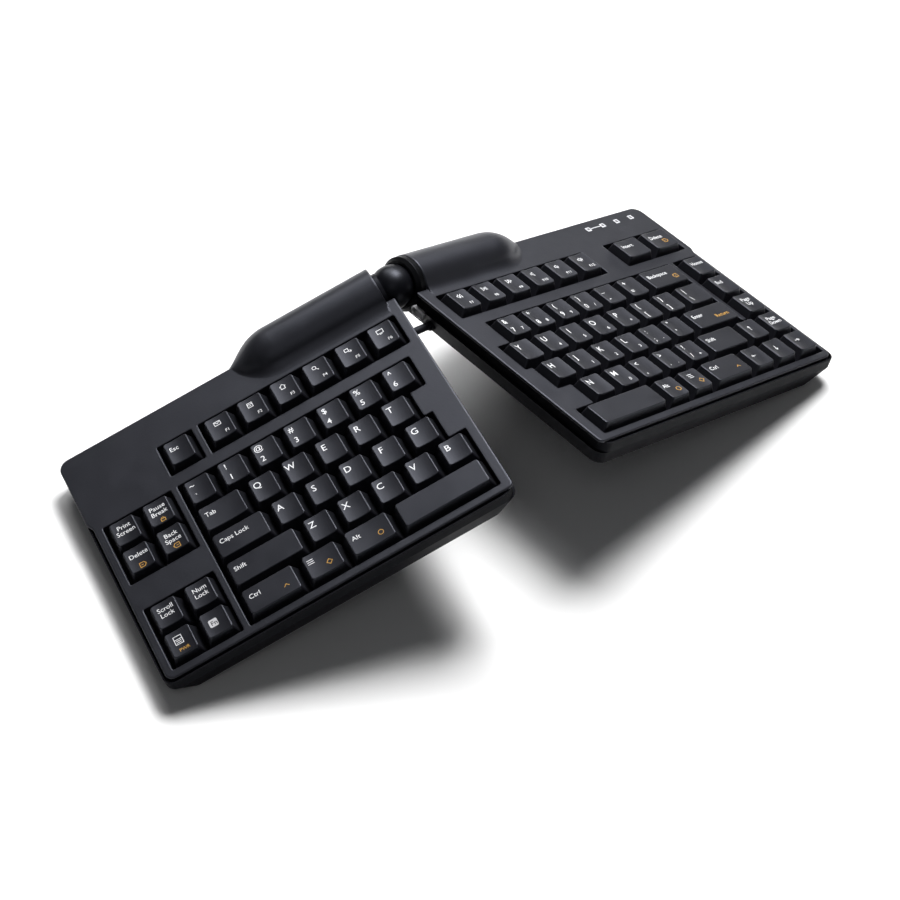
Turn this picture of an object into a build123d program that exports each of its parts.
"""Split keyboard: two halves on one ball hinge, tented and splayed as it stands on a desk.

Each half is drawn lying flat in its own frame: X along the key rows to the right, Y to the rear,
Z up out of the keys, Z = 0 on the underside.  The two frames share one grid of key pitches.  At
the end every piece is turned about the ball's centre into the pose in which the keyboard stands,
with its feet on Z = 0.
"""
from build123d import *
from math import atan2, cos, degrees, pi, radians, sin, sqrt, tan
import os

# Pose on the desk: each half tilts by the tent angle, and they share the splay angle
tent_angle = 18.3
splay_angle = 16.9

# Key grid, keycaps and their stems
key_pitch = 19.05
cap_gap = 0.35
cap_side_inset = 3.04
cap_end_inset = 2.2
cap_height = 8.3
cap_wall = 1.2
cap_roof = 1.5
cap_base_corner = 0.8
cap_top_corner = 1.5
cap_edge_round = 0.45
cap_dish_depth = 0.5
dished_width_share = 1.6
stem_radius = 2.5
stem_length = 14.0

# Case heights above the underside
key_top_height = 22.5
deck_drop = 3.3
deck_thickness = 1.4
skirt_height = 12.0
floor_thickness = 2.0
ledge_depth = 3.0

# Case in plan, on the key grid
left_case_outer = -50.0
left_case_inner = 144.0
right_case_inner = 116.0
right_case_outer = 310.0
case_front = -7.3
case_rear = 147.5
case_wall = 2.0
case_corner = 6.0
case_corner_inside = 2.4
skirt_side_inset = 8.0
skirt_front_inset = 4.5
skirt_rear_inset = 2.0
band_recess = 1.2
lip_wall = 0.8
lip_reach = 2.0
upper_wall = 1.6
ring_wall = 1.0
ring_gap = 0.1
shoulder_front = 99.0
shoulder_rear = 103.0
deck_corner = 4.5
deck_inner_corner = 3.0
deck_edge_round = 0.7
well_side_gap = 0.7
well_end_gap = 1.1
well_wall = 1.2
well_corner = 1.0
overrun = 5.0

# Key frame, rubber dome sheet and contact sheet under the keys
frame_height = 8.0
frame_thickness = 2.0
frame_rear_margin = 20.5
frame_inner_margin = 2.4
well_wall_height = 12.3
guide_height = 4.5
guide_wall = 1.0
guide_clearance = 0.1
membrane_thickness = 0.5
dome_sheet_thickness = 0.8
dome_height = 3.5
dome_base_radius = 4.4
dome_top_radius = 2.7
dome_wall = 0.7
seat_gap = 0.3

# Hinge housing
hinge_rear = 145.8
hinge_height = 14.0
hinge_reach = 2.6
hump_radius = 15.0
hump_wall = 2.0
hump_end_round = 0.6
hump_full_length = 67.0
hump_middle_length = 84.0
hump_middle_radius = 9.7
hump_fade_length = 101.0
hump_fade_radius = 1.5
hump_blend_radius = 9.0
hump_blend_bite = 0.02
left_hump_setback = 7.6
right_hump_setback = 10.0
notch_front = 137.0
notch_round = 2.4
bay_clearance = 0.6

# Ball hinge, measured from the ball's centre
ball_radius = 11.8
ball_shell = 2.0
neck_radius = 11.0
neck_bore_radius = 9.2
neck_reach = 5.2
stud_flange_radius = 12.8
stud_flange_length = 4.0
stud_clearance = 0.1
pad_clearance = 0.3
pad_thickness = 1.0
pad_rim = 1.2
pad_corner = 1.0
collar_reach = 4.7
collar_shoulder_reach = 6.6
collar_rim_radius = 12.7
collar_radius = 14.7
collar_shank_radius = 12.8
collar_shank_length = 3.2
collar_bore_radius = 12.2
collar_lip_length = 2.2
collar_edge_round = 0.4
seat_reach = 10.9
seat_rear_reach = 20.0
seat_neck_radius = 12.0
seat_step_gap = 0.2
tie_radius = 1.5
tie_clearance = 0.2
tie_head_angle = 60.0
tie_head_thickness = 1.3
tie_end_reach = 24.5
tie_nut_height = 2.6
tie_nut_radius = 3.2

# Each hinge joint turns from lying flat to twice this angle, and the slots a little beyond
swing_middle = 10.0
slot_spare_angle = 2.0

# Lock lever in the right half's inner wall, under the hinge
lever_front = 123.6
lever_pivot_rear = 129.9
lever_pivot_height = 8.6
lever_hub_radius = 2.7
lever_tip_rise = 1.9
lever_tip_drop = 2.3
lever_thickness = 2.4
lever_bevel = 0.7
lever_side_gap = 0.3
lever_swing_gap = 0.7
lever_pin_radius = 1.0
lever_pin_clearance = 0.05
pocket_wall = 1.6

# Link cable between the halves
cable_rear = 119.5
cable_height = 5.7
cable_radius = 2.1
cable_inside = 7.0
cable_bend_radius = 15.0
cable_clearance = 0.1
grommet_radius = 3.2
grommet_fit = 0.05
grommet_reach = 1.4
grommet_length = 5.5

# Feet, screws, lamps, board and inlet
foot_length = 24.0
foot_width = 6.0
foot_lip = 0.3
foot_side_margin = 0.6
foot_end_margin = 12.0
inner_foot_margin = 18.0
screw_radius = 1.0
screw_clearance = 0.05
screw_head_radius = 1.9
screw_head_height = 1.2
screw_head_sink = 0.4
screw_end_height = 16.8
boss_radius = 2.1
boss_foot_radius = 3.6
boss_height = 14.6
boss_gap = 0.4
lamp_width = 2.6
lamp_depth = 1.6
lamp_height = 2.4
lamp_pitch = 12.1
lamp_outer_margin = 12.4
lamp_rear_margin = 7.0
lamp_clearance = 0.1
board_length = 62.0
board_depth = 13.0
board_thickness = 1.6
board_height = 8.0
board_outer_margin = 36.0
board_rear_margin = 3.6
chip_size = 7.0
chip_height = 1.2
post_radius = 1.8
inlet_width = 9.0
inlet_height = 3.4
inlet_wall = 0.5
inlet_depth = 7.5
inlet_clearance = 0.2

# Key cells in key pitches: left edge, right edge, front edge
left_key_shares = {
    "esc_key": [(0, 1, 5.5)],
    "left_function_keys": [(n + 1.25, n + 2.25, 5.5) for n in range(6)],
    "left_number_keys": [(n, n + 1, 4) for n in range(7)],
    "tab_key": [(0, 1.5, 3)],
    "left_top_letter_keys": [(n + 1.5, n + 2.5, 3) for n in range(5)],
    "caps_lock_key": [(0, 1.75, 2)],
    "left_home_letter_keys": [(n + 1.75, n + 2.75, 2) for n in range(5)],
    "left_shift_key": [(0, 2.25, 1)],
    "left_bottom_letter_keys": [(n + 2.25, n + 3.25, 1) for n in range(5)],
    "left_ctrl_key": [(0, 1.75, 0)],
    "left_menu_key": [(1.75, 3, 0)],
    "left_alt_key": [(3, 4.5, 0)],
    "left_space_key": [(4.5, 7.25, 0)],
    "edit_keys": [(n - 2.25, n - 1.25, row) for row in (3, 4) for n in range(2)],
    "lock_keys": [(n - 2.25, n - 1.25, row) for row in (0, 1) for n in range(2)],
}
right_key_shares = {
    "right_function_keys": [(n + 6.5, n + 7.5, 5.5) for n in range(6)],
    "insert_delete_keys": [(13.5, 14.75, 5.5), (14.75, 16, 5.5)],
    "right_number_keys": [(n + 7, n + 8, 4) for n in range(6)],
    "backspace_key": [(13, 14.75, 4)],
    "right_top_letter_keys": [(n + 6.5, n + 7.5, 3) for n in range(7)],
    "backslash_key": [(13.5, 14.75, 3)],
    "right_home_letter_keys": [(n + 6.75, n + 7.75, 2) for n in range(6)],
    "enter_key": [(12.75, 14.75, 2)],
    "right_bottom_letter_keys": [(n + 7.25, n + 8.25, 1) for n in range(5)],
    "right_shift_key": [(12.25, 14, 1)],
    "right_space_key": [(6.5, 9.25, 0)],
    "right_alt_key": [(9.25, 10.25, 0)],
    "right_menu_key": [(10.25, 11.25, 0)],
    "right_ctrl_key": [(11.25, 13, 0)],
    "arrow_keys": [(13, 14, 0), (14, 15, 0), (15, 16, 0), (14, 15, 1)],
    "navigation_keys": [(15, 16, row) for row in (1, 2, 3, 4)],
}
# Wells in the deck, each a span of touching keys, in key pitches
left_well_shares = [
    (0, 1, 5.5), (1.25, 7.25, 5.5), (0, 7, 4), (0, 6.5, 3), (0, 6.75, 2), (0, 7.25, 1), (0, 7.25, 0),
    (-2.25, -0.25, 4), (-2.25, -0.25, 3), (-2.25, -0.25, 1), (-2.25, -0.25, 0),
]
right_well_shares = [
    (6.5, 12.5, 5.5), (13.5, 16, 5.5), (7, 14.75, 4), (6.5, 14.75, 3), (6.75, 14.75, 2),
    (7.25, 16, 1), (6.5, 16, 0), (15, 16, 4), (15, 16, 3), (15, 16, 2),
]
# Case screws and the posts that carry the key frame, in key pitches
left_screw_shares = [(-2.1, 6.9), (-1.25, 2.5), (1.1, 5.25), (4.2, 5.25), (6.6, 5.25)]
right_screw_shares = [(15.6, 6.9), (7.4, 5.25), (10.2, 5.25), (13.0, 5.25)]
left_post_shares = [(0.9, 1), (4.4, 1)]
right_post_shares = [(8.1, 1), (12.1, 1), (15, 2)]

# Where the concave blend is drawn along the hump's fall into the deck
hump_blend_shares = (0, 0.14, 0.28, 0.42, 0.56, 0.67)

# Heights and radii that follow from the sizes above
deck_height = key_top_height - deck_drop
split_height = deck_height - deck_thickness
ledge_height = split_height - ledge_depth
cap_base_height = key_top_height - cap_height
cap_inside_height = key_top_height - cap_roof
membrane_top = floor_thickness + membrane_thickness
dome_sheet_top = membrane_top + dome_sheet_thickness
guide_bore_radius = stem_radius + guide_clearance
guide_radius = guide_bore_radius + guide_wall
ball_bore_radius = ball_radius - ball_shell
inner_pad_radius = ball_radius + pad_clearance
outer_pad_radius = inner_pad_radius + pad_thickness + pad_clearance
seat_dish_radius = outer_pad_radius + pad_thickness + pad_clearance
tie_head_radius = ball_bore_radius - pad_clearance
ring_corner = case_corner - lip_wall - ring_gap

# How far the rim ring of the deck stands in from the case's outline: outer, inner, front, rear
ring_insets = (lip_reach, band_recess + upper_wall + ring_gap, lip_reach, upper_wall + ring_gap)


class Half:
    """One half's places on the shared grid; way is +1 where outwards is +X."""

    def __init__(self, name, outer, inner, hump_setback, bay_radius, keys, wells, screws, posts):
        self.name = name
        self.outer = outer
        self.inner = inner
        self.way = 1 if outer > inner else -1
        self.hinge = inner - self.way * hinge_reach
        self.hump_setback = hump_setback
        self.hump_end = self.hinge + self.way * hump_setback
        self.bay_radius = bay_radius
        self.keys = keys
        self.wells = wells
        self.screws = [(x * key_pitch, y * key_pitch) for x, y in screws]
        self.posts = [(x * key_pitch, y * key_pitch) for x, y in posts]

    def out(self, start, distance):
        """The X place that lies a distance outwards of a start."""
        return start + self.way * distance

    def turn(self):
        """The half's turn from lying flat to its pose on the desk."""
        return Rot(Z=self.way * splay_angle / 2) * Rot(Y=self.way * tent_angle)

    def pose(self):
        """Turns the half's own frame about the ball's centre into its place on the desk."""
        return self.turn() * Pos(-self.hinge, -hinge_rear, -hinge_height)

    def hinge_plane(self):
        """Sketch plane through the hinge line: local X outwards, local Y upwards."""
        return Plane(origin=(self.hinge, hinge_rear, hinge_height), x_dir=(self.way, 0, 0),
                     z_dir=(0, -self.way, 0))

    def hinge_line(self):
        """The line along the key rows through the ball's centre."""
        return Axis((self.hinge, hinge_rear, hinge_height), (self.way, 0, 0))

    def hinge_face(self, reach):
        """Sketch plane square to the hinge line, a reach outwards of the ball's centre."""
        return Plane(origin=(self.out(self.hinge, reach), hinge_rear, hinge_height), x_dir=(0, 1, 0),
                     z_dir=(self.way, 0, 0))


left = Half("left", left_case_outer, left_case_inner, left_hump_setback, ball_radius + bay_clearance,
            left_key_shares, left_well_shares, left_screw_shares, left_post_shares)
right = Half("right", right_case_outer, right_case_inner, right_hump_setback,
             collar_radius + bay_clearance, right_key_shares, right_well_shares,
             right_screw_shares, right_post_shares)

pieces = []


def keep(name, part, pose):
    """Labels a finished piece and keeps it with the pose that carries it."""
    part.label = name
    pieces.append((part, pose))


def case_outline(half, insets, corner, mode=Mode.ADD):
    """Adds or cuts the case's plan, drawn in by insets at its outer, inner, front and rear sides."""
    outer_in, inner_in, front_in, rear_in = insets
    x_outer = half.out(half.outer, -outer_in)
    x_inner = half.out(half.inner, inner_in)
    y_front = case_front + front_in
    y_rear = case_rear - rear_in
    with Locations(((x_outer + x_inner) / 2, (y_front + y_rear) / 2)):
        RectangleRounded(abs(x_outer - x_inner), y_rear - y_front, corner, mode=mode)


def block(x_a, x_b, y_a, y_b, z_a, z_b, mode):
    """Adds or cuts a block between two corners in the open part."""
    with BuildSketch(Plane.XY.offset(z_a)) as face:
        with Locations(((x_a + x_b) / 2, (y_a + y_b) / 2)):
            Rectangle(abs(x_b - x_a), abs(y_b - y_a))
    extrude(face.sketch, amount=z_b - z_a, mode=mode)


def skirt_insets(height):
    """How far the skirt's outside stands in at a height: outer, inner, front, rear."""
    share = 1 - height / skirt_height
    return (skirt_side_inset * share, skirt_side_inset * share, skirt_front_inset * share,
            skirt_rear_inset * share)


def cavity_insets(height):
    """How far the skirt's inside stands in at a height: outer, inner, front, rear."""
    share = (height - floor_thickness) / (skirt_height - floor_thickness)
    floor_insets = [skirt + case_wall for skirt in skirt_insets(floor_thickness)]
    top_insets = [ring + ring_wall for ring in ring_insets]
    return [low + (high - low) * share for low, high in zip(floor_insets, top_insets)]


def hump_fall(gap=0):
    """The hump's outline where it falls to the deck: reach along the hinge line and radius."""
    return Spline((hinge_reach + hump_full_length, hump_radius + gap),
                  (hinge_reach + hump_middle_length, hump_middle_radius + gap),
                  (hinge_reach + hump_fade_length, hump_fade_radius + gap), tangents=((1, 0), (6, -1)))


def hump(half, gap, end_round, mode=Mode.ADD):
    """Turns the hump that houses the hinge and falls to the deck, widened by a gap."""
    end = half.hump_setback - gap
    full = hinge_reach + hump_full_length
    with BuildSketch(half.hinge_plane()) as profile:
        with BuildLine():
            rim = FilletPolyline((end, 0), (end, hump_radius + gap), (full, hump_radius + gap),
                                 radius=end_round)
            fall = hump_fall(gap)
            Polyline(fall @ 1, (hinge_reach + hump_fade_length, 0), rim @ 0)
        make_face()
    revolve(profile.sketch, axis=half.hinge_line(), mode=mode)


def hump_hollow(half):
    """Turns the hollow of the hump, a wall inside it."""
    end = half.hump_setback + hump_wall
    full = hinge_reach + hump_full_length
    middle = hinge_reach + hump_middle_length
    with BuildSketch(half.hinge_plane()) as profile:
        with BuildLine():
            Polyline((end, 0), (end, hump_radius - hump_wall), (full, hump_radius - hump_wall),
                     (middle, hump_middle_radius - hump_wall), (middle, 0), close=True)
        make_face()
    revolve(profile.sketch, axis=half.hinge_line())


def hump_blend_face(half, reach, radius):
    """Section of the concave blend between the deck and the hump, at a reach along the hinge line."""
    rise = deck_height + hump_blend_radius - hump_blend_bite
    away = sqrt((radius + hump_blend_radius - hump_blend_bite) ** 2 - (rise - hinge_height) ** 2)
    sweep_angle = 90 - degrees(atan2(rise - hinge_height, away))
    with BuildSketch(Plane.YZ.offset(half.out(half.hinge, reach))) as face:
        with BuildLine():
            arc = CenterArc((hinge_rear - away, rise), hump_blend_radius, -90, sweep_angle)
            Polyline(arc @ 1, ((arc @ 1).X, split_height), ((arc @ 0).X, split_height), arc @ 0)
        make_face()
    return face.sketch


def hump_blend(half):
    """Adds the concave blend along the hump and down its fall to the deck."""
    start = half.hump_setback + hump_end_round
    full = hinge_reach + hump_full_length
    extrude(hump_blend_face(half, start, hump_radius), amount=half.way * (full - start))
    with BuildLine(mode=Mode.PRIVATE):
        fall = hump_fall()
    loft([hump_blend_face(half, (fall @ share).X, (fall @ share).Y) for share in hump_blend_shares])


def hinge_scoop(half, wall):
    """Cuts the round clearance along the hinge line, from the ball to the hump's end."""
    with BuildSketch(half.hinge_face(-hinge_reach)) as scoop:
        Circle(half.bay_radius + wall)
    extrude(scoop.sketch, amount=half.hump_setback + hinge_reach + wall, mode=Mode.SUBTRACT)


def hinge_bay(half, wall):
    """Cuts the open bay round the ball: the missing corner of the case and the round clearance."""
    block(half.out(half.inner, -overrun), half.out(half.hump_end, wall), notch_front - wall,
          hinge_rear + hump_radius + overrun, -overrun, hinge_height + hump_radius + overrun,
          Mode.SUBTRACT)
    hinge_scoop(half, wall)


def hinge_bore(half):
    """Cuts the hole for the ball's neck or the collar's shank through the hump's end."""
    with BuildSketch(half.hinge_face(half.hump_setback - overrun)) as bore:
        Circle(stud_clearance + (neck_radius if half is left else collar_shank_radius))
    extrude(bore.sketch, amount=overrun + hump_wall + overrun, mode=Mode.SUBTRACT)


def slab(low, high):
    """Keeps only what lies between two heights in the open part."""
    reach = 2 * (right_case_outer + case_rear)
    with BuildSketch(Plane.XY.offset(low)) as face:
        Rectangle(reach, reach)
    extrude(face.sketch, amount=high - low, mode=Mode.INTERSECT)


def key_centres(half):
    """Centre of every key cell of a half."""
    return [((x_a + x_b) / 2 * key_pitch, (row + 1 / 2) * key_pitch)
            for cells in half.keys.values() for x_a, x_b, row in cells]


def well_spans(half, margin):
    """Adds every key well's plan, widened by a margin, to the open sketch."""
    for x_a, x_b, row in half.wells:
        with Locations(((x_a + x_b) / 2 * key_pitch, (row + 1 / 2) * key_pitch)):
            Rectangle((x_b - x_a) * key_pitch + 2 * (well_side_gap + margin),
                      key_pitch + 2 * (well_end_gap + margin))


def pocket(margin):
    """The lever's pocket: x, y and z ranges, widened by a margin on its closed sides."""
    deep = lever_side_gap + lever_thickness + lever_side_gap + margin
    top = lever_pivot_height + lever_hub_radius + lever_swing_gap + margin
    return (right.inner - overrun, right.inner + deep, lever_front - lever_swing_gap - margin,
            notch_front + overrun, -overrun, top)


def board_centre():
    """Plan centre of the controller board."""
    return (right.outer - board_outer_margin - board_length / 2,
            case_rear - board_rear_margin - board_depth / 2)


def bottom_cover(half):
    """Lower shell: sloping skirt, upright band and the lower side of the hump."""
    with BuildPart() as space:
        with BuildSketch(Plane.XY.offset(floor_thickness)):
            case_outline(half, cavity_insets(floor_thickness), case_corner_inside)
        with BuildSketch(Plane.XY.offset(skirt_height)):
            case_outline(half, cavity_insets(skirt_height), case_corner_inside)
        loft()
        with BuildSketch(Plane.XY.offset(skirt_height)):
            case_outline(half, cavity_insets(skirt_height), case_corner_inside)
        extrude(amount=ledge_height - skirt_height)
        with BuildSketch(Plane.XY.offset(ledge_height)):
            case_outline(half, (lip_wall, band_recess + upper_wall, lip_wall, upper_wall),
                         case_corner - lip_wall)
        extrude(amount=ledge_depth + overrun)
        hinge_bay(half, case_wall)
        if half is right:
            block(*pocket(pocket_wall), Mode.SUBTRACT)
        hump_hollow(half)
    with BuildPart() as cover:
        with BuildSketch():
            case_outline(half, skirt_insets(0), case_corner)
        with BuildSketch(Plane.XY.offset(skirt_height)):
            case_outline(half, skirt_insets(skirt_height), case_corner)
        loft()
        with BuildSketch(Plane.XY.offset(skirt_height)):
            case_outline(half, (0, band_recess, 0, 0), case_corner)
        extrude(amount=split_height - skirt_height)
        hinge_bay(half, 0)
        hump(half, 0, hump_end_round)
        slab(0, split_height)
        add(space.part, mode=Mode.SUBTRACT)
        with BuildSketch(Plane.XY.offset(floor_thickness)):
            with Locations(*half.screws, *half.posts):
                Circle(boss_foot_radius)
        extrude(amount=frame_height - floor_thickness)
        with BuildSketch(Plane.XY.offset(frame_height)):
            with Locations(*half.screws):
                Circle(boss_radius)
        extrude(amount=boss_height - frame_height)
        if half is right:
            with BuildSketch(Plane.XY.offset(floor_thickness)):
                with Locations(board_centre()):
                    with GridLocations(board_length - 2 * post_radius, board_depth - 2 * post_radius, 2, 2):
                        Circle(post_radius)
            extrude(amount=board_height - floor_thickness)
            block(*pocket(0), Mode.SUBTRACT)
            with BuildSketch(Plane.YZ.offset(right.inner)):
                with Locations((lever_pivot_rear, lever_pivot_height)):
                    Circle(lever_pin_radius + lever_pin_clearance)
            extrude(amount=lever_side_gap + lever_thickness + lever_side_gap + 2 * pocket_wall,
                    mode=Mode.SUBTRACT)
            x_inlet, inlet_low = board_centre()[0], board_height + board_thickness
            block(x_inlet - inlet_width / 2 - inlet_clearance, x_inlet + inlet_width / 2 + inlet_clearance,
                  case_rear - case_wall - overrun, case_rear + overrun,
                  inlet_low - inlet_clearance, inlet_low + inlet_height + inlet_clearance, Mode.SUBTRACT)
        with BuildSketch():
            with Locations(*half.screws):
                Circle(screw_radius + screw_clearance)
        extrude(amount=boss_height, mode=Mode.SUBTRACT)
        with BuildSketch():
            with Locations(*half.screws):
                Circle(screw_head_radius + screw_clearance)
        extrude(amount=screw_head_sink + screw_head_height, mode=Mode.SUBTRACT)
        hinge_bore(half)
        with BuildSketch(Plane.YZ.offset(half.inner)):
            with Locations((cable_rear, cable_height)):
                Circle(grommet_radius)
        extrude(amount=half.way * (skirt_side_inset + 2 * case_wall), mode=Mode.SUBTRACT)
    keep(half.name + "_bottom_cover", cover.part, half.pose())


def top_cover(half):
    """Upper shell: deck with its key wells, rim ring and the upper side of the hump."""
    deck_outer = half.out(half.outer, -lip_reach)
    deck_front = case_front + lip_reach
    corners = [(deck_outer, deck_front), (half.inner, deck_front), (half.inner, notch_front),
               (half.hump_end, notch_front), (half.hump_end, case_rear), (half.outer, case_rear),
               (half.outer, shoulder_rear), (deck_outer, shoulder_front)]
    rounds = [deck_corner, deck_inner_corner, notch_round, notch_round, 0, case_corner, deck_corner,
              deck_corner]
    with BuildPart() as shell:
        hump(half, 0, hump_end_round)
        slab(split_height, hinge_height + hump_radius)
    with BuildPart() as blend:
        hump_blend(half)
    with BuildPart() as space:
        hump_hollow(half)
        slab(ledge_height, hinge_height + hump_radius)
    with BuildPart() as ring:
        with BuildSketch(Plane.XY.offset(ledge_height)):
            case_outline(half, ring_insets, ring_corner)
            case_outline(half, [inset + ring_wall for inset in ring_insets], ring_corner - ring_wall,
                         Mode.SUBTRACT)
        extrude(amount=ledge_depth)
        hinge_bay(half, case_wall + ring_gap)
        hump(half, ring_gap, 0, Mode.SUBTRACT)
    with BuildPart() as cover:
        with BuildSketch(Plane.XY.offset(split_height)):
            with BuildLine():
                FilletPolyline(*corners, radius=rounds, close=True)
            make_face()
        extrude(amount=deck_thickness)
        fillet(cover.faces().sort_by(Axis.Z)[-1].edges(), deck_edge_round)
        hinge_scoop(half, 0)
        add(shell.part)
        add(blend.part)
        add(space.part, mode=Mode.SUBTRACT)
        hinge_bore(half)
        add(ring.part)
        with BuildSketch(Plane.XY.offset(well_wall_height)):
            well_spans(half, well_wall)
        extrude(amount=split_height - well_wall_height)
        with BuildSketch(Plane.XY.offset(boss_height)):
            with Locations(*half.screws):
                Circle(boss_radius)
        extrude(amount=split_height - boss_height)
        with BuildSketch(Plane.XY.offset(well_wall_height)) as wells:
            well_spans(half, 0)
            fillet(wells.vertices(), well_corner)
        extrude(amount=deck_height - well_wall_height, mode=Mode.SUBTRACT)
        with BuildSketch(Plane.XY.offset(boss_height)):
            with Locations(*half.screws):
                Circle(screw_radius + screw_clearance)
        extrude(amount=screw_end_height + seat_gap - boss_height, mode=Mode.SUBTRACT)
        if half is right:
            with BuildSketch(Plane.XY.offset(split_height)):
                with Locations(*lamp_places()):
                    Rectangle(lamp_width + 2 * lamp_clearance, lamp_depth + 2 * lamp_clearance)
            extrude(amount=deck_thickness, mode=Mode.SUBTRACT)
    keep(half.name + "_top_cover", cover.part, half.pose())


def lamp_places():
    """Centres of the four lamp windows, from the outer one inwards."""
    return [(right.outer - lamp_outer_margin - n * lamp_pitch, case_rear - lamp_rear_margin)
            for n in range(4)]


def keycap(width):
    """One hollow keycap with its stem, standing over the origin of its cell."""
    top_width = width - 2 * cap_side_inset
    top_depth = key_pitch - 2 * cap_end_inset
    with BuildPart() as cap:
        with BuildSketch(Plane.XY.offset(cap_base_height)):
            RectangleRounded(width - 2 * cap_gap, key_pitch - 2 * cap_gap, cap_base_corner)
        with BuildSketch(Plane.XY.offset(key_top_height)):
            RectangleRounded(top_width, top_depth, cap_top_corner)
        loft()
        if width < dished_width_share * key_pitch:
            dish_radius = (top_width ** 2 / 4 + cap_dish_depth ** 2) / (2 * cap_dish_depth)
            with BuildSketch(Plane.XZ.offset(-key_pitch / 2)):
                with Locations((0, key_top_height - cap_dish_depth + dish_radius)):
                    Circle(dish_radius)
            extrude(amount=key_pitch, mode=Mode.SUBTRACT)
        fillet(cap.faces().sort_by(Axis.Z)[-1].edges(), cap_edge_round)
        with BuildSketch(Plane.XY.offset(cap_base_height)):
            RectangleRounded(width - 2 * (cap_gap + cap_wall), key_pitch - 2 * (cap_gap + cap_wall),
                             cap_base_corner)
        with BuildSketch(Plane.XY.offset(cap_inside_height)):
            RectangleRounded(top_width - 2 * cap_wall, top_depth - 2 * cap_wall, cap_base_corner)
        loft(mode=Mode.SUBTRACT)
        with BuildSketch(Plane.XY.offset(cap_inside_height)):
            Circle(stem_radius)
        extrude(amount=-stem_length)
    return cap.part


def key_nodes(half):
    """Every row or single key of a half, as one node each."""
    for name, cells in half.keys.items():
        caps = {width: keycap(width * key_pitch) for width in {x_b - x_a for x_a, x_b, row in cells}}
        with BuildPart() as keys:
            for x_a, x_b, row in cells:
                with Locations(((x_a + x_b) / 2 * key_pitch, (row + 1 / 2) * key_pitch)):
                    add(caps[x_b - x_a])
        keep(name, keys.part, half.pose())


def key_frame(half):
    """Plate under the keys with one guide tube for every stem."""
    outer_in, inner_in, front_in, _ = [inset + seat_gap for inset in cavity_insets(frame_height)]
    with BuildPart() as frame:
        with BuildSketch(Plane.XY.offset(frame_height)):
            case_outline(half, (outer_in, inner_in + frame_inner_margin, front_in, frame_rear_margin),
                         case_corner_inside)
        extrude(amount=frame_thickness)
        with BuildSketch(Plane.XY.offset(frame_height)):
            with Locations(*key_centres(half)):
                Circle(guide_radius)
        extrude(amount=frame_thickness + guide_height)
        with BuildSketch(Plane.XY.offset(frame_height)):
            with Locations(*key_centres(half)):
                Circle(guide_bore_radius)
            with Locations(*half.screws):
                Circle(boss_radius + boss_gap)
        extrude(amount=frame_thickness + guide_height, mode=Mode.SUBTRACT)
    keep(half.name + "_key_frame", frame.part, half.pose())


def sheet_face(half, height):
    """Sketch of a sheet's plan, with holes round the case's bosses and posts."""
    outer_in, inner_in, front_in, _ = [inset + seat_gap for inset in cavity_insets(floor_thickness)]
    with BuildSketch(Plane.XY.offset(height)) as face:
        case_outline(half, (outer_in, inner_in, front_in, frame_rear_margin), case_corner_inside)
        with Locations(*half.screws, *half.posts):
            Circle(boss_foot_radius + boss_gap, mode=Mode.SUBTRACT)
    return face.sketch


def membrane(half):
    """Contact sheet on the floor of the case."""
    with BuildPart() as sheet:
        extrude(sheet_face(half, floor_thickness), amount=membrane_thickness)
    keep(half.name + "_membrane", sheet.part, half.pose())


def dome_sheet(half):
    """Rubber sheet with one dome under every stem."""
    with BuildPart() as sheet:
        extrude(sheet_face(half, membrane_top), amount=dome_sheet_thickness)
        for x, y in key_centres(half):
            with Locations((x, y, dome_sheet_top)):
                Cone(dome_base_radius, dome_top_radius, dome_height,
                     align=(Align.CENTER, Align.CENTER, Align.MIN))
            with Locations((x, y, membrane_top)):
                Cone(dome_base_radius - dome_wall, dome_top_radius - dome_wall,
                     dome_sheet_thickness + dome_height - dome_wall,
                     align=(Align.CENTER, Align.CENTER, Align.MIN), mode=Mode.SUBTRACT)
    keep(half.name + "_dome_sheet", sheet.part, half.pose())


def feet(half):
    """Wedge feet under the outer edge, which lie flat on the desk, and square ones under the inner edge."""
    x_outer = half.out(half.outer, -skirt_side_inset - foot_side_margin)
    x_wedge = half.out(x_outer, -foot_width)
    x_inner = half.out(half.inner, inner_foot_margin)
    depth = foot_lip + foot_width * tan(radians(tent_angle))
    ends = (case_front + foot_end_margin + foot_length, case_rear - foot_end_margin)
    with BuildPart() as pads:
        for y_end in ends:
            with BuildSketch(Plane.XZ.offset(-y_end)):
                with BuildLine():
                    Polyline((x_outer, 0), (x_wedge, 0), (x_wedge, -depth), (x_outer, -foot_lip), close=True)
                make_face()
                with Locations((x_inner, -depth / 2)):
                    Rectangle(foot_width, depth)
            extrude(amount=foot_length)
    keep(half.name + "_feet", pads.part, half.pose())


def screws(half):
    """Case screws from below, each a head and a shank with a cross recess."""
    slot_width = screw_head_radius / 3
    with BuildPart() as group:
        with BuildSketch(Plane.XY.offset(screw_head_sink)):
            with Locations(*half.screws):
                Circle(screw_head_radius)
        extrude(amount=screw_head_height)
        with BuildSketch(Plane.XY.offset(screw_head_sink + screw_head_height)):
            with Locations(*half.screws):
                Circle(screw_radius)
        extrude(amount=screw_end_height - screw_head_sink - screw_head_height)
        with BuildSketch(Plane.XY.offset(screw_head_sink)):
            with Locations(*half.screws):
                Rectangle(2 * screw_radius, slot_width)
                Rectangle(slot_width, 2 * screw_radius)
        extrude(amount=screw_head_height / 2, mode=Mode.SUBTRACT)
    keep(half.name + "_screws", group.part, half.pose())


def slot_half(radius, swing):
    """Half the width that the tie bolt needs in a shell of a radius, for a swing to each side."""
    angle = radians(swing + slot_spare_angle)
    return radius * sin(angle) + (tie_radius + tie_clearance) / cos(angle)


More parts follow.
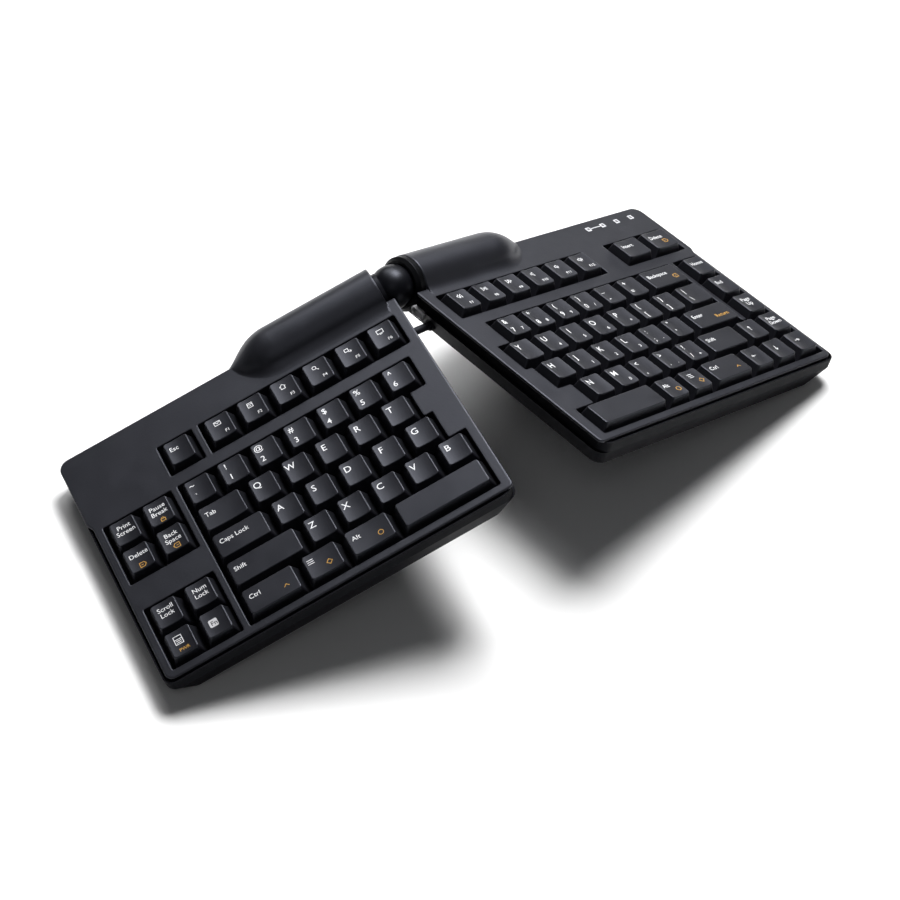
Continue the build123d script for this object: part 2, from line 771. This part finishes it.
def slot_through(frame, radius, tent_swing, splay_swing):
    """Cuts the tie bolt's slot along a frame's X, from the ball's centre outwards."""
    with BuildSketch(Plane(frame * Rot(Y=90))) as face:
        RectangleRounded(2 * slot_half(radius, tent_swing), 2 * slot_half(radius, splay_swing), pad_corner)
    extrude(face.sketch, amount=2 * radius, mode=Mode.SUBTRACT)


def along(radius, across):
    """Reach along the hinge line at which a sphere's section stands a distance off the line."""
    return sqrt(radius ** 2 - across ** 2)


def sphere_arc(radius, start, end):
    """Arc of a sphere's section in the hinge plane, between two reaches along the hinge line."""
    middle = (start + end) / 2
    return ThreePointArc((start, along(radius, start)), (middle, along(radius, middle)),
                         (end, along(radius, end)))


def ball_stud():
    """Hollow ball and its neck, held in the left half; the tie bolt swings in its slot."""
    flange = left.hump_setback + hump_wall
    end = flange + stud_flange_length
    middle = Pos(left.hinge, hinge_rear, hinge_height) * Rot(Y=swing_middle) * Rot(Z=swing_middle)
    with BuildPart() as stud:
        with BuildSketch(left.hinge_plane()):
            with BuildLine():
                outside = sphere_arc(ball_radius, -ball_radius, neck_reach)
                inside = sphere_arc(ball_bore_radius, -ball_bore_radius,
                                    along(ball_bore_radius, neck_bore_radius))
                Polyline(outside @ 1, (neck_reach, neck_radius), (flange, neck_radius),
                         (flange, stud_flange_radius), (end, stud_flange_radius),
                         (end, neck_bore_radius), inside @ 1)
                Line(outside @ 0, inside @ 0)
            make_face()
        revolve(axis=left.hinge_line())
        slot_through(middle * Rot(Y=swing_middle), ball_radius, 2 * swing_middle, swing_middle)
    keep("ball_stud", stud.part, left.pose())


def socket_pad(name, radius, splay_swing, pose):
    """Friction pad: a thin slotted piece of a sphere, drawn round the ball's centre along X."""
    outside = radius + pad_thickness
    with BuildPart() as pad:
        Sphere(outside)
        with BuildSketch(Plane.YZ) as face:
            RectangleRounded(2 * (slot_half(outside, splay_swing) + pad_rim),
                             2 * (slot_half(outside, swing_middle) + pad_rim), pad_corner + pad_rim)
        extrude(face.sketch, amount=2 * outside, mode=Mode.INTERSECT)
        Sphere(radius, mode=Mode.SUBTRACT)
        slot_through(Pos(), outside, swing_middle, splay_swing)
    keep(name, pad.part, pose)


def socket_collar():
    """Ring on the right half's hump that takes the ball."""
    lip_end = collar_reach + collar_lip_length
    end = right.hump_setback + collar_shank_length
    with BuildPart() as collar:
        with BuildSketch(right.hinge_plane()):
            with BuildLine():
                lip = sphere_arc(inner_pad_radius, collar_reach, lip_end)
                FilletPolyline(lip @ 0, (collar_reach, collar_rim_radius),
                               (collar_shoulder_reach, collar_radius),
                               (right.hump_setback, collar_radius),
                               (right.hump_setback, collar_shank_radius), (end, collar_shank_radius),
                               (end, collar_bore_radius), (lip_end, collar_bore_radius), lip @ 1,
                               radius=[collar_edge_round] * 3 + [0] * 4)
            make_face()
        revolve(axis=right.hinge_line())
    keep("socket_collar", collar.part, right.pose())


def socket_seat():
    """Plug in the right half's hump with the dish that the pads bear on."""
    step = right.hump_setback + collar_shank_length + seat_step_gap
    bore = tie_radius + tie_clearance
    with BuildPart() as seat:
        with BuildSketch(right.hinge_plane()):
            with BuildLine():
                dish = sphere_arc(seat_dish_radius, seat_reach, along(seat_dish_radius, bore))
                Polyline(dish @ 0, (seat_reach, seat_neck_radius), (step, seat_neck_radius),
                         (step, collar_shank_radius), (seat_rear_reach, collar_shank_radius),
                         (seat_rear_reach, bore), dish @ 1)
            make_face()
        revolve(axis=right.hinge_line())
    keep("socket_seat", seat.part, right.pose())


def tie_bolt():
    """Bolt with a domed head inside the ball that draws the halves together."""
    with BuildPart() as bolt:
        with BuildSketch(right.hinge_plane()):
            with BuildLine():
                outside = CenterArc((0, 0), tie_head_radius, 0, tie_head_angle)
                inside = CenterArc((0, 0), tie_head_radius - tie_head_thickness, 0, tie_head_angle)
                Line(outside @ 1, inside @ 1)
                Line(outside @ 0, inside @ 0)
            make_face()
            with Locations((tie_head_radius - tie_head_thickness, 0)):
                Rectangle(tie_end_reach - tie_head_radius + tie_head_thickness, tie_radius, align=Align.MIN)
        revolve(axis=right.hinge_line())
    keep("tie_bolt", bolt.part, right.pose())


def tie_nut():
    """Nut that clamps the tie bolt behind the seat."""
    with BuildPart() as nut:
        with BuildSketch(right.hinge_face(seat_rear_reach)):
            RegularPolygon(tie_nut_radius, 6)
            Circle(tie_radius + screw_clearance, mode=Mode.SUBTRACT)
        extrude(amount=tie_nut_height)
    keep("tie_nut", nut.part, right.pose())


def lock_lever():
    """Lever on the right half's inner wall that locks the hinge; it swings down about its pin."""
    x_face = right.inner + lever_side_gap
    with BuildPart() as lever:
        with BuildSketch(Plane.YZ.offset(x_face)):
            with Locations((lever_pivot_rear, lever_pivot_height)):
                Circle(lever_hub_radius)
            with BuildLine():
                Polyline((lever_pivot_rear, lever_pivot_height + lever_hub_radius),
                         (lever_front, lever_pivot_height + lever_tip_rise),
                         (lever_front, lever_pivot_height - lever_tip_drop),
                         (lever_pivot_rear, lever_pivot_height - lever_hub_radius), close=True)
            make_face()
        extrude(amount=lever_thickness)
        chamfer(lever.faces().sort_by(Axis.X)[0].edges(), lever_bevel)
        with BuildSketch(Plane.YZ.offset(x_face)):
            with Locations((lever_pivot_rear, lever_pivot_height)):
                Circle(lever_pin_radius + lever_pin_clearance)
        extrude(amount=lever_thickness, mode=Mode.SUBTRACT)
    keep("lock_lever", lever.part, right.pose())


def lever_pin():
    """Pin pressed into the pocket's wall, on which the lever turns."""
    with BuildPart() as pin:
        with BuildSketch(Plane.YZ.offset(right.inner + lever_side_gap)):
            with Locations((lever_pivot_rear, lever_pivot_height)):
                Circle(lever_pin_radius)
        extrude(amount=lever_thickness + lever_side_gap + pocket_wall)
    keep("lever_pin", pin.part, right.pose())


def wall_at_cable():
    """How far the skirt's outside stands in at the cable's height."""
    return skirt_insets(cable_height)[1]


def cable_grommet(half):
    """Rubber sleeve that guides the link cable through the skirt."""
    with BuildPart() as sleeve:
        with BuildSketch(Plane.YZ.offset(half.out(half.inner, wall_at_cable() - grommet_reach))):
            with Locations((cable_rear, cable_height)):
                Circle(grommet_radius - grommet_fit)
                Circle(cable_radius + cable_clearance, mode=Mode.SUBTRACT)
        extrude(amount=half.way * grommet_length)
    keep(half.name + "_cable_grommet", sleeve.part, half.pose())


def link_cable():
    """Short cable from half to half, drawn in the pose on the desk about the ball's centre."""
    ends = []
    for half in (left, right):
        x_end = half.out(half.inner, wall_at_cable() + cable_inside)
        ends.append((half.pose() * Pos(x_end, cable_rear, cable_height)).position)
    rise = (right.turn() * Pos(1, 0, 0)).position
    apex = ends[1] - rise * (ends[1].X / rise.X)
    with BuildPart() as cable:
        with BuildLine() as route:
            FilletPolyline(ends[0], apex, ends[1], radius=cable_bend_radius)
        with BuildSketch(Plane(origin=route.line @ 0, z_dir=route.line % 0)):
            Circle(cable_radius)
        sweep()
    print("link cable", route.wires()[0].length, cable.part.volume / (pi * cable_radius ** 2))
    keep("link_cable", cable.part, Pos())


def indicator_windows():
    """Light pipes, flush with the deck."""
    with BuildPart() as windows:
        with BuildSketch(Plane.XY.offset(deck_height - lamp_height)):
            with Locations(*lamp_places()):
                Rectangle(lamp_width, lamp_depth)
        extrude(amount=lamp_height)
    keep("indicator_windows", windows.part, right.pose())


def controller_board():
    """Circuit board on its posts, with its controller chip."""
    with BuildPart() as board:
        with BuildSketch(Plane.XY.offset(board_height)):
            with Locations(board_centre()):
                Rectangle(board_length, board_depth)
        extrude(amount=board_thickness)
        with BuildSketch(Plane.XY.offset(board_height + board_thickness)):
            with Locations(board_centre()):
                with Locations((-board_length / 4, 0)):
                    Rectangle(chip_size, chip_size)
        extrude(amount=chip_height)
    keep("controller_board", board.part, right.pose())


def usb_inlet():
    """Metal inlet for a detachable lead, in the rear wall of the right half."""
    y_rear = case_rear - skirt_insets(board_height + board_thickness)[3] - inlet_wall
    middle = board_height + board_thickness + inlet_height / 2
    with BuildPart() as inlet:
        with BuildSketch(Plane.XZ.offset(-y_rear)):
            with Locations((board_centre()[0], middle)):
                RectangleRounded(inlet_width, inlet_height, inlet_height / 3)
        extrude(amount=inlet_depth)
        with BuildSketch(Plane.XZ.offset(-y_rear)):
            with Locations((board_centre()[0], middle)):
                RectangleRounded(inlet_width - 2 * inlet_wall, inlet_height - 2 * inlet_wall,
                                 inlet_height / 3 - inlet_wall)
                Rectangle(inlet_width / 2, inlet_wall, mode=Mode.SUBTRACT)
        extrude(amount=inlet_depth - inlet_wall, mode=Mode.SUBTRACT)
    keep("usb_inlet", inlet.part, right.pose())


for side in (left, right):
    bottom_cover(side)
    top_cover(side)
    key_frame(side)
    dome_sheet(side)
    membrane(side)
    feet(side)
    screws(side)
    cable_grommet(side)
    key_nodes(side)
ball_stud()
socket_pad("socket_pad_inner", inner_pad_radius, swing_middle,
           Rot(Z=-splay_angle / 2) * Rot(Z=swing_middle) * Rot(Y=swing_middle))
socket_pad("socket_pad_outer", outer_pad_radius, 0, Rot(Z=splay_angle / 2) * Rot(Y=swing_middle))
socket_collar()
socket_seat()
tie_bolt()
tie_nut()
lock_lever()
lever_pin()
link_cable()
indicator_windows()
controller_board()
usb_inlet()

placed = [(part.label, pose * part) for part, pose in pieces]
box = Compound([part for _, part in placed]).bounding_box()
centre = Pos(-(box.min.X + box.max.X) / 2, -(box.min.Y + box.max.Y) / 2, -box.min.Z)
print("ball centre", centre.position, "size", box.size)
os.makedirs("parts", exist_ok=True)
for name, part in placed:
    piece = centre * part
    piece.label = name
    export_step(piece, "parts/" + name + ".step")
